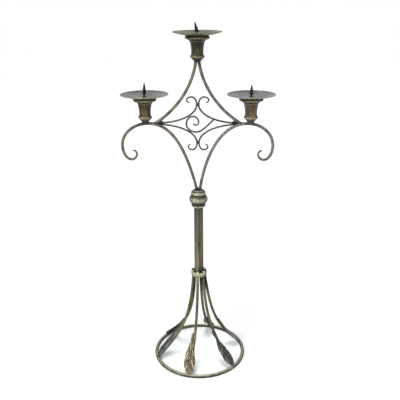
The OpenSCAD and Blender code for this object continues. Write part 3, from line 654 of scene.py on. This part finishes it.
# Lobes: the outside's radius loses a notch of 1 - |cos(half the lobes * turn)|^0.55, which is
# deepest at mid height, where the belly, 1 less the square of the way from there, is 1.
turn = circle(288)
notch = 1 - np.abs(np.cos(turn * bead_lobes / 2)) ** 0.55
belly = held(1 - ((bead_profile[:, 1:] - bead_mid) / bead_half) ** 2)
outside = bead_profile[:, :1] > 0.6 * bead_r
rings = lathe_rings(bead_profile, turn, 1 - (0.006 + 0.022 * belly) * notch * outside)
make_piece("lobed_bead", rings, knop_bronze, ["knop_bead"], loop=True, sharp=60,
           rub_and_highlight=held(0.65 * belly ** 3 * (1 - 0.5 * notch)),
           grime_and_shade=held(0.05 + 0.15 * notch + 1.1 * (1 - belly) ** 1.2))

disc_low, disc_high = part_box("frame_disc")
disc_r = disc_high.x
disc_h = disc_high.z - disc_low.z
disc_tier = 0.0120
stud_depth = 0.009
pinhole_r = 0.0002  # at the middle of its top, too fine to see
disc_profile = soften(np.array([
    [stud_r, 0], [disc_r - 0.0018, 0], [disc_r, 0.0018], [disc_r, 0.0032], [disc_r - 0.001, 0.0039],
    [disc_r - 0.001, 0.0047], [disc_r, 0.0054], [disc_r, 0.0068], [disc_r - 0.0012, 0.0082],
    [disc_r - 0.0033, 0.0088], [disc_r - 0.0031, 0.0102], [disc_r - 0.0045, disc_tier],
    [disc_r - 0.008, 0.0132], [disc_r - 0.009, disc_h],
    [0.0, disc_h], [0.0, stud_depth], [stud_r, stud_depth]]) + [0, disc_low.z])
disc_profile[:, 0] = np.maximum(disc_profile[:, 0], pinhole_r)
dirt = wear_of(disc_profile)[1]
rim = hump(disc_profile[:, :1], disc_r, 0.0015)
tier = hump(disc_profile[:, 1:], disc_low.z + disc_tier, 0.0012)
make_piece("frame_plate", lathe_rings(disc_profile, knop_turn), knop_bronze, ["frame_disc"],
           loop=True, rub_and_highlight=0.05 + 0.75 * np.maximum(rim, 0.65 * tier),
           grime_and_shade=0.35 * dirt + 0.75 * (1 - np.maximum(rim, 0.85 * tier)))


# ---- Arms
# Two arms of 8 mm bar, bent hot by hand: from the disc over a crest under the side cup, then
# down into an open curl that is drawn out to a thinner tip.

rod_r = 0.004
disc_top = disc_high.z
crest_z = disc_top + 0.1825
arm_reach = 0.138
arm_start = np.array([rod_r * 1.03 + weld_gap, disc_top])
arm_crest = np.array([arm_reach - 0.008, crest_z])
arm_bows = {1: 0.018, -1: 0.027}
hook_outs = {1: 0.0598, -1: 0.0638}
hook_fall = 0.060
curl_fall = 0.038
curl_w = 0.038
curl_tip_r = 0.00225
stem_steps = 144
hook_steps = 54
side_names = {1: "right", -1: "left"}
side_turns = {1: 0.0, -1: np.pi}


def quarters(points, counts, axis):
    """A curl: quarter ellipses from each of these points to the next, with so many steps each.
    The first leaves along x (axis 0) or z (axis 1), each next one along the other. The way
    along that axis goes as sin w, and the way across as 1 - cos w."""
    arcs = []
    for k, count in enumerate(counts):
        w = np.linspace(0, np.pi / 2, count, endpoint=False)
        share = np.stack([np.sin(w), 1 - np.cos(w)], -1)[:, ::-1 if (axis + k) % 2 else 1]
        arcs.append(points[k] + (points[k + 1] - points[k]) * share)
    return np.vstack([*arcs, [points[-1]]])


def arm_stem(side):
    """The arm's middle line from the disc to its crest."""
    return bezier(arm_start, arm_start + [arm_bows[side], 0.113], arm_crest - [0.062, 0], arm_crest,
                  np.linspace(0, 1, stem_steps + 1))


def drawn_radii(path, radius, tip_radius, plain):
    """Full radius for so many points, then an even taper to the tip."""
    return np.concatenate([np.full(plain, radius), np.linspace(radius, tip_radius, len(path) - plain)])


def arm_line(side):
    """Stem, shoulder, hook and curl in one line."""
    outermost = np.array([arm_reach + hook_outs[side], crest_z - hook_fall])
    bottom = outermost - [curl_w * 0.6, curl_fall]
    inner = np.array([outermost[0] - curl_w, bottom[1] + 0.015])
    tip = inner + [0.010, 0.010]
    hook = quarters([arm_crest, outermost, bottom, inner, tip], (hook_steps, 48, 48, 48), 0)
    return np.vstack([arm_stem(side)[:-1], hook])


arm_colors = {
    1: ((79, 75, 73), (146, 138, 128), (193, 187, 175)),
    -1: ((76, 68, 58), (143, 130, 111), (192, 180, 155)),
}
arm_irons = {side: patina_finish(f"arm_bar_{side_names[side]}", *colors, mottle=2, polish=0.12, edge=0.9)
             for side, colors in arm_colors.items()}
for side, side_name in side_names.items():
    path = arm_line(side)
    radii = drawn_radii(path, rod_r, curl_tip_r, stem_steps + hook_steps)
    rings = turned(rod_rings(path, radii, 2.4 * side, sides=22), side_turns[side])
    reach, height = np.abs(rings[..., 0]), rings[..., 2]
    # Painted shade where the arm leaves the disc and under the seat of its cup; the lower curl is darker
    # too.
    near_disc = held(1.3 - (height - disc_top) / 0.012)
    near_seat = hump(reach, arm_reach, 0.021) * (height > crest_z - 0.02)
    in_curl = held((crest_z - 0.065 - height) / 0.02) * (reach > 0.13)
    dark = np.maximum(np.maximum(near_disc, 1.15 * near_seat), 0.35 * in_curl)
    make_piece(f"{side_name}_arm_bar", rings, arm_irons[side], [f"arm_{side_name}"], rub_and_highlight=0.3,
               grime_and_shade=0.1 + 0.7 * dark)


# ---- Upper rods
# Two more bars of the same size, from the seat under the top cup down and out to the arms,
# where each is cut to the arm's slope and welded.

peak_z = crest_z + 0.157
rest_x = arm_reach - 0.027
upper_start = np.array([rod_r * 1.03 + weld_gap, peak_z])


def height_on(path, x):
    """Height of a line that rises along x, at x."""
    return np.interp(x, path[:, 0], path[:, 1])


def slope_on(path, x):
    """Unit direction of a line at x, from its heights half a millimetre either way."""
    return unit(np.array([0.001, height_on(path, x + 0.0005) - height_on(path, x - 0.0005)]))


def upper_line(side):
    """The rod's middle line, from the peak to its foot on top of the arm."""
    stem = arm_stem(side)
    off_arm = left_of(slope_on(stem, rest_x)) * (rod_r + weld_gap)
    foot = np.array([rest_x, height_on(stem, rest_x)]) + off_arm
    return bezier(upper_start, upper_start + [0.010, -0.068], foot + [-0.050, 0.031], foot,
                  np.linspace(0, 1, 120))


for side, side_name in side_names.items():
    rings = turned(rod_rings(upper_line(side), rod_r, 1.1 + side, sides=22), side_turns[side])
    # Painted shade near the peak, under the top cup; the right rod is also darker all along.
    near_peak = held(1 - (peak_z - rings[..., 2]) / 0.02)
    make_piece(f"{side_name}_upper_bar", rings, arm_irons[side], [f"upper_rod_{side_name}"],
               rub_and_highlight=0.3, grime_and_shade=0.17 + 0.12 * side + 0.6 * near_peak)


# ---- Scrolls
# Four scrolls of thin bar fill the corners of the frame: from a side corner in to the middle
# line, where a pair touch, and out again in a small curl. A fifth curls alone in the middle.

scroll_r = 0.0024
pocket = 2 * scroll_r + weld_gap
corner_x = arm_reach - 0.048
scroll_meet = 0.051
curl_h = 0.019
curl_widths = {1: 0.026, -1: 0.0235}
sweep_steps = 90
lead_steps = 60
round_steps = 42
touch_step = 32


def rest_on_arm(side):
    """Height of a scroll's middle where its end lies on an arm."""
    stem = arm_stem(side)
    return height_on(stem, corner_x) + (rod_r + scroll_r) / slope_on(stem, corner_x)[0]


scroll_mid_z = max(rest_on_arm(-1), rest_on_arm(1)) + weld_gap + pocket / 2


def scroll_line(up):
    """Middle line of an upper (1) or lower (-1) scroll, about the frame's centre."""
    width = curl_widths[up]
    start = np.array([corner_x, up * pocket / 2])
    meet = np.array([scroll_r + weld_gap, up * scroll_meet])
    top = meet + [width * 0.52, up * curl_h]
    out = meet + [width, up * curl_h * 0.58]
    tip = meet + [width * 0.72, up * curl_h * 0.25]
    sweep = bezier(start, start + [-0.052, up * 0.004], meet - [0, up * 0.024], meet,
                   np.linspace(0, 1, sweep_steps, endpoint=False))
    return np.vstack([sweep, quarters([meet, top, out, tip], (36, 36, 30), 1)])


scroll_iron = patina_finish("scroll_bar", (56, 54, 56), (104, 98, 95), (152, 144, 134), mottle=1.6,
                            polish=0.08, edge=0.9)


def make_scroll(name, node, line, tip_share, plain, phase, turn):
    """A scroll from its line about the frame's centre: full size for so many points, then drawn
    out to this share of it at the tip, and turned to its side of the post."""
    path = line + [0, scroll_mid_z]
    radii = drawn_radii(path, scroll_r, tip_share * scroll_r, plain)
    rings = turned(rod_rings(path, radii, phase, sides=16, step=0.002), turn)
    make_piece(name, rings, scroll_iron, [node], rub_and_highlight=0.28, grime_and_shade=0.1)


for up, level in ((1, "upper"), (-1, "lower")):
    for side, side_name in side_names.items():
        make_scroll(f"{side_name}_{level}_scroll_bar", f"scroll_{level}_{side_name}", scroll_line(up),
                    0.75, sweep_steps, up + 2.2 * side, side_turns[side])


def centre_line():
    """The lone scroll: from its weld under the upper right one, round the left and into an eye.
    Its turns are shares of the room between the centre and the scrolls."""
    upper = scroll_line(1)
    room = np.linalg.norm(scroll_line(-1), axis=1).min() - 2 * scroll_r - 2 * weld_gap
    along = upper[touch_step + 1] - upper[touch_step - 1]
    touch = upper[touch_step] + left_of(unit(along)) * (scroll_r + weld_gap)
    turns = room * np.array([
        [-0.21, -0.86], [-1.17, -0.02], [-0.5, 0.75], [0.08, 0.19], [-0.21, -0.15], [-0.45, 0.04]])
    lead = bezier(touch, touch - room * np.array([0.7, 0.62]), turns[0] + room * np.array([0.66, 0]),
                  turns[0], np.linspace(0, 1, lead_steps, endpoint=False))
    return np.vstack([lead, quarters(turns, (round_steps, round_steps, 36, 30, 24), 0)])


make_scroll("centre_scroll_bar", "centre_scroll", centre_line(), 0.8, lead_steps + 2 * round_steps,
            0.7, 0.0)


# ---- Frame welds
# Dark lumps of weld where bars meet: the side corners, the feet of the upper rods, the places
# where scrolls touch, and the foot of the arms on the disc.

corner_lumps = []
for side, side_name in side_names.items():
    low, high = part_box(f"corner_weld_{side_name}")
    mid = (low + high) / 2
    size = (high - low) / 2
    # The wedge itself, a lump on its inner end and one over the foot of the upper rod.
    for out, y, up, radii, tilt, phase in (
            (0, 0, 0, (size.x, 0.0032, size.z * 0.62), 0.35, 0.5),
            (-0.004, 0.0004, 0.001, (0.0052, 0.0038, 0.0050), 0, 1.9),
            (0.0035, 0, 0.0030, (0.0082, 0.0042, 0.0050), 0.5, 0.9)):
        middle = (mid.x + side * out, y, mid.z + up)
        corner_lumps.append(weld_rings(middle, radii, side * tilt, phase + side))
make_piece("corner_lumps", corner_lumps, weld_iron, ["corner_weld_left", "corner_weld_right"],
           rub_and_highlight=0.05, grime_and_shade=0.6)

pair_weld = (0.0022, 0.0026, 0.0042)
rod_foot_weld = (0.0062, 0.0047, 0.0016)
arm_foot_weld = (0.0066, 0.0046, 0.0034)
touch_welds = []
for up in (1, -1):
    touch_z = scroll_mid_z + up * (scroll_meet - 0.001)
    touch_welds.append(weld_rings((0, 0, touch_z), pair_weld, 0, up))
for side in (1, -1):
    foot = upper_line(side)[-1]
    tilt = math.atan2(*slope_on(arm_stem(side), rest_x)[::-1])
    touch_welds.append(weld_rings((side * foot[0], 0, foot[1]), rod_foot_weld, -side * tilt, 2 + side))
touch_welds.append(weld_rings((0, 0, disc_top + 0.0022), arm_foot_weld, 0, 0.3))
make_piece("touch_welds", touch_welds, weld_iron, rub_and_highlight=0.1, grime_and_shade=0.55)


# ---- Seats
# The short piece under each cup that is welded to the bars and carries the cup on a spigot.
# Its lower end shows as a dark neck between the cup and the arm.

seat_weld = (0.0095, 0.0062, 0.0026)
seat_bronze = patina_finish("seat_bronze", (58, 58, 55), (106, 104, 95), (142, 138, 122))


def finish_node(name, finish):
    """Puts a finish on a CAD piece that is shown as it is."""
    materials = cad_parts[name].data.materials
    materials.clear()
    materials.append(finish)


for name in ("left", "right", "top"):
    finish_node(f"seat_{name}", seat_bronze)
seat_welds = []
for side, side_name in side_names.items():
    weld_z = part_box(f"seat_{side_name}")[0].z + 0.0035
    seat_welds.append(weld_rings((side * arm_reach, 0, weld_z), seat_weld, 0, side + 0.4))
make_piece("seat_welds", seat_welds, weld_iron, rub_and_highlight=0.05, grime_and_shade=0.6)


# ---- Candle cups
# Cast bells with eight flat sides and slightly rounded corners: a bright ring, a narrow waist,
# a bead at the neck and a stepped flange under the pan. The hollow inside holds the spigot.

cup_sides = 8
cup_turn = math.radians(-5 - 90)
cup_h = 0.0618
cup_foot = 0.0001
cup_floor = 0.0124
cup_bore = 0.0057
waist_r = 0.0155
cup_wall = 0.0032
cavity_r = waist_r * math.cos(math.pi / cup_sides) - cup_wall
cup_profile = soften(np.array([
    [0.0090, cup_foot], [0.0101, 0.0013], [0.0150, 0.0064], [0.0183, 0.0095], [0.0190, 0.0112],
    [0.0183, 0.0129], [0.0168, 0.0149], [0.0159, 0.0172], [waist_r, 0.0223], [0.0157, 0.0285],
    [0.0163, 0.0335], [0.0173, 0.0400], [0.0184, 0.0450], [0.0191, 0.0474], [0.0204, 0.0481],
    [0.0208, 0.0489], [0.0206, 0.0497], [0.0220, 0.0509], [0.0262, 0.0527], [0.0296, 0.0541],
    [0.0312, 0.0553], [0.0315, 0.0564], [0.0315, 0.0584], [0.0310, 0.0600], [0.0301, 0.0612],
    [0.0290, cup_h], [0.0120, cup_h], [cavity_r, cup_h], [cavity_r, cup_floor],
    [cup_bore, cup_floor], [cup_bore, cup_foot]]), cut=0.18, passes=1)


def box_foot(node):
    """The middle of a CAD piece's box, seen from above, and the height of its foot."""
    low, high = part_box(node)
    return ((low.x + high.x) / 2, (low.y + high.y) / 2), low.z


# Lit and shaded copies of one bronze: each cup's tones are set lighter or darker for how the light falls
# on it.
cup_lit_shaded_tones = {
    "left": ((32, 31, 26), (93, 77, 49), (172, 158, 123)),
    "right": ((54, 48, 39), (112, 92, 69), (167, 157, 130)),
    "top": ((21, 23, 19), (59, 52, 33), (155, 141, 109)),
}
dirt = wear_of(cup_profile)[1]
turn = circle(144)
# An octagon with slightly rounded corners: cos(22.5) over the 120th root of the sum of cos^120
# of the angle to each side, so 1 at a corner and 0.92 amid a side. The hollow stays round.
side_turn = circle(cup_sides) + cup_turn + np.pi / cup_sides
facing = held(np.cos(turn[:, None] - side_turn)) ** 120
facets = math.cos(math.pi / cup_sides) / facing.sum(-1) ** (1 / 120)
corner = held((facets - 0.965) / 0.02)
front_part = held(np.cos(turn + np.radians(85))) ** 3
front_highlight = held(np.cos(turn + np.radians(82))) ** 6
radius, height = cup_profile[:, :1], cup_profile[:, 1:]
eight_sided = np.where(radius > cavity_r + 0.0005, facets, 1.0)
ring_band = hump(height, 0.0108, 0.0030) * (radius > 0.0140)
neck_band = hump(height, 0.0489, 0.0011) * (radius > 0.0170)
flange_band = hump(height, 0.0572, 0.0032) * (radius > 0.0295)
under_flange = hump(height, 0.0530, 0.0022) * (radius > 0.0215)
# The ring and neck bead are rubbed bright. Painted highlight: the front of the flange, under it, and the
# front of the body. Painted shade: the top under the pan, except at the front. The corners darken round
# the waist.
bright = held(0.85 * ring_band + 0.7 * neck_band + (0.15 + 0.7 * front_part) * flange_band
              + 0.45 * front_part * under_flange)
under_pan_shade = held((height - 0.0575) / 0.002)
waist_corner_darkening = corner * hump(height, 0.030, 0.012)
cup_wear_and_highlight = held(0.1 + 0.3 * front_highlight * hump(height, 0.022, 0.014) + 0.9 * bright)
cup_grime_and_shade = held(0.05 + 0.35 * (dirt + waist_corner_darkening) * (1 - bright) + 0.3 * under_pan_shade * (1 - front_part))
for name, tones in cup_lit_shaded_tones.items():
    middle, foot_z = box_foot(f"cup_{name}")
    rings = lathe_rings(cup_profile + [0, foot_z - weld_gap], turn, eight_sided, middle)
    cup_bronze = patina_finish(f"cup_bronze_{name}", *tones, mottle=2.4, polish=0.16,
                               scale=(1, 1, 0.35), edge=0.95)
    make_piece(f"{name}_bell", rings, cup_bronze, [f"cup_{name}"], loop=True, rub_and_highlight=cup_wear_and_highlight,
               grime_and_shade=cup_grime_and_shade, sharp=20)


# ---- Candle pans
# Shallow cones of thin sheet, spun, with a rolled rim and a pressed boss under the nut. They
# have a satin pewter face, and their rims and undersides are bronze; painted shade darkens
# the undersides and the back of the face.

pan_t = 0.0015
rim_bead = 0.0009
pan_h = 0.010
pan_r = 0.063
flat_r = 0.025
rim_r = pan_r - rim_bead
pan_rise = pan_h - 2 * rim_bead
boss_r = 0.007
boss_foot = 0.0012
boss_top = pan_t + 0.0006
stem_bore = 0.0027

# Underside out to the rim, round the rolled bead and back in over the upper face: the height
# rises as the share of the way to the rim to the power 1.25.
share = np.linspace(0, 1, 24)
slope = np.stack([flat_r + (rim_r - flat_r) * share, pan_rise * share ** 1.25], -1)
under = np.vstack([[stem_bore, 0], [flat_r * 0.6, 0], slope[:-1]])
w = np.radians(np.linspace(-80, 170, 14))
bead = np.stack([rim_r + rim_bead * np.cos(w), pan_h - rim_bead + rim_bead * np.sin(w)], -1)
over = slope[::-1][1:] + [0, pan_t]
boss = [[flat_r * 0.6, pan_t], [boss_r + boss_foot, pan_t], [boss_r, boss_top], [stem_bore, boss_top]]
pan_line = np.vstack([under, bead, over, boss])
underside = (np.arange(len(pan_line))[:, None] < len(under)) * 1.0
pan_colors = {
    "left": ((84, 86, 80), (113, 114, 112), (141, 140, 104)),
    "right": ((82, 85, 86), (110, 113, 115), (140, 139, 106)),
    "top": ((78, 80, 63), (110, 113, 91), (110, 110, 74)),
}
turn = circle(144)
rim_part = hump(pan_line[:, :1], pan_r, 0.0014)
# Painted shade on the underside, darker towards the middle.
below = 0.7 * np.clip((pan_r - pan_line[:, :1]) / 0.02, 0.2, 1)
for name, colors in pan_colors.items():
    middle, foot_z = box_foot(f"pan_{name}")
    # Spun by hand: the radius loses 0.15 % * (1 + two waves and five waves round the pan).
    phase = len(name) * 1.3
    wander = 0.0015 * (1 + 0.6 * np.sin(2 * turn + phase) + 0.4 * np.sin(5 * turn - phase))
    rings = lathe_rings(pan_line + [0, foot_z], turn, 1 - wander, middle)
    # Painted shade on the face, darker towards the back and more so on the left.
    toward_back = held(rings[..., 1] / pan_r)
    toward_left = held((middle[0] - rings[..., 0]) / pan_r)
    shaded = 0.15 + 1.1 * toward_back ** 2.5 * (0.35 + 0.9 * toward_left)
    pewter = patina_finish(f"{name}_pewter", *colors, mottle=1.1, polish=0.16, relief=0.00006, edge=0.0)
    make_piece(f"{name}_dish", rings, pewter, [f"pan_{name}"], loop=True, rub_and_highlight=0.8 * rim_part,
               sharp=50, grime_and_shade=(below * underside + shaded * (1 - underside)) * (1 - rim_part))


# ---- Prickets and nuts
# A blackened iron spike stands on each pan: its screwed stem runs down through a small nut,
# the pan and the cup, and it was bent a little when it was set.

spike_iron = patina_finish("spike_iron", (20, 21, 28), (34, 36, 46), (60, 62, 70), mottle=2)
nut_iron = patina_finish("nut_iron", (62, 65, 66), (104, 107, 106), (132, 134, 128), mottle=2, edge=0.5)
spike_lens = {"left": 0.029, "right": 0.025, "top": 0.025}
stem_r = 0.0025
barb_r = 0.0055
spike_tip_r = 0.0007
bend_h = 0.00455
barb_rises = {"left": 0.009, "right": 0.0075, "top": 0.007}
leans = {"left": 2, "right": 1, "top": -12}
taper = np.linspace(0, 1, 14)
taper_r = spike_tip_r + (barb_r - spike_tip_r) * (1 - taper) ** 0.82


def bent(rings, x0, z0, lean):
    """Rings tipped about y at (x0, z0) by an angle, which grows to its full size over the first
    0.1 mm above: x cos + z sin, z cos - x sin."""
    tip = held((rings[..., 2] - z0) / 0.0001) * lean
    x, z = rings[..., 0] - x0, rings[..., 2] - z0
    return np.stack([x0 + x * np.cos(tip) + z * np.sin(tip), rings[..., 1],
                     z0 - x * np.sin(tip) + z * np.cos(tip)], -1)


for name in pan_colors:
    stem_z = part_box(f"pricket_{name}")[0].z + 0.0002
    middle, pan_z = box_foot(f"pan_{name}")
    barb_z = pan_z + pan_t + barb_rises[name]
    bend_z = pan_z + pan_t + bend_h
    spike = np.stack([taper_r, barb_z + (spike_lens[name] - 0.0004) * taper], -1)
    profile = np.vstack([[[stem_r, stem_z], [stem_r, bend_z - 0.001], [stem_r, bend_z],
                          [stem_r - 0.0001, barb_z - 0.0017], [barb_r - 0.0012, barb_z - 0.0011]], spike])
    rings = lathe_rings(profile, circle(28), middle=middle)
    rings = bent(rings, middle[0], bend_z, math.radians(leans[name]))
    make_piece(f"{name}_spike", rings, spike_iron, [f"pricket_{name}"], rub_and_highlight=0.05, grime_and_shade=0.45)
    finish_node(f"pan_nut_{name}", nut_iron)


# ---- Plug and stud
# The tapped plug in the top of the post and the stud that draws frame, knop and post together,
# in plain steel with an oiled, slightly stained face. They are out of sight inside.

inner_steel = patina_finish("oiled_steel", (84, 84, 82), (150, 150, 148), (186, 186, 184), polish=0.2)
for name in ("post_plug", "tie_stud"):
    finish_node(name, inner_steel)


# ---- Floor, light and camera
# A plain white studio: a pale floor that keeps the stand's shadow, soft light from above and
# from the left, and a camera a metre up and 1.44 m in front, which looks 20 degrees down.

floor_half = 6.0
oval_scale = (0.6, 1, 1)
oval_edges = (0.14, 0.25)
middle_edges = (0.03, 0.1)
room_light = 0.18


def seen_or_mirrored(tree):
    """1 for what the camera sees, straight, in a mirror or through glass, else 0: the largest
    of the three kinds of ray."""
    rays = add_node(tree, "ShaderNodeLightPath").outputs
    through = calc(tree, "MAXIMUM", rays["Is Camera Ray"], rays["Is Transmission Ray"])
    return calc(tree, "MAXIMUM", through, rays["Is Glossy Ray"])


floor_corners = floor_half * np.array([[-1, -1, 0], [1, -1, 0], [1, 1, 0], [-1, 1, 0]])
floor_mesh = bpy.data.meshes.new("floor")
floor_mesh.from_pydata(floor_corners.tolist(), [], [(0, 1, 2, 3)])
floor_paper = bpy.data.materials.new("floor_paper")
tree = fresh_tree(floor_paper)
in_view = seen_or_mirrored(tree)
place = add_node(tree, "ShaderNodeTexCoord").outputs["Object"]
# Painted light: in an oval round the hoop, and more so in its middle, the floor is whiter and
# glows faintly cool where it is seen or mirrored, so that the pans' soft shade doesn't show.
oval = add_node(tree, "ShaderNodeMapping", {"Vector": place, "Scale": oval_scale}).outputs[0]
apart = add_node(tree, "ShaderNodeVectorMath", {0: oval}, operation="LENGTH").outputs["Value"]
shade = ramp(tree, in_view, 0, 1, 0.42, ramp(tree, apart, *oval_edges, 0.98, 0.95))
paper = add_node(tree, "ShaderNodeBsdfDiffuse", {"Color": shade})
oval_glow = ramp(tree, apart, *oval_edges, 0.215, 0.0)
middle_glow = ramp(tree, apart, *middle_edges, 0.22, 0.0)
glow = ramp(tree, in_view, 0, 1, 0.0, calc(tree, "ADD", oval_glow, middle_glow))
lift = add_node(tree, "ShaderNodeEmission", {"Color": paint(240, 255, 253), "Strength": glow})
both = add_node(tree, "ShaderNodeAddShader", {0: paper.outputs[0], 1: lift.outputs[0]})
add_node(tree, "ShaderNodeOutputMaterial", {"Surface": both.outputs[0]})
floor_mesh.materials.append(floor_paper)
floor = place_object("floor", floor_mesh)

world = bpy.data.worlds.new("studio")
bpy.context.scene.world = world
tree = fresh_tree(world)
strength = ramp(tree, seen_or_mirrored(tree), 0, 1, room_light, 1.0)
air = add_node(tree, "ShaderNodeBackground", {"Color": (1, 1, 1, 1), "Strength": strength})
add_node(tree, "ShaderNodeOutputWorld", {"Surface": air.outputs[0]})


def soft_lamp(name, power, spread, toward):
    """A wide sun: its power in watts a square metre, how many degrees across it looks, and the
    direction in which it shines."""
    lamp = bpy.data.lights.new(name, "SUN")
    lamp.energy = power
    lamp.angle = math.radians(spread)
    holder = place_object(name, lamp)
    holder.rotation_mode = "QUATERNION"
    holder.rotation_quaternion = Vector(toward).to_track_quat("-Z", "Y")


soft_lamp("top_light", 2.15, 20, (0.05, 0.06, -1))
soft_lamp("key_light", 1.7, 25, (0.5, 0.75, -0.55))

camera_lens = 50.27
camera_spot = (0.0608, -1.4397, 1.0235)
camera_aim = Vector((-0.0368, 0.9370, -0.3473))
camera_roll = math.radians(-0.4)
camera = bpy.data.cameras.new("camera")
camera.lens = camera_lens
camera.sensor_width = 36
camera_holder = place_object("camera", camera)
camera_holder.location = camera_spot
camera_holder.rotation_euler = camera_aim.to_track_quat("-Z", "Y").to_euler()
camera_holder.rotation_euler.rotate_axis("Z", camera_roll)
bpy.context.scene.camera = camera_holder
bpy.context.scene.view_settings.view_transform = "Standard"
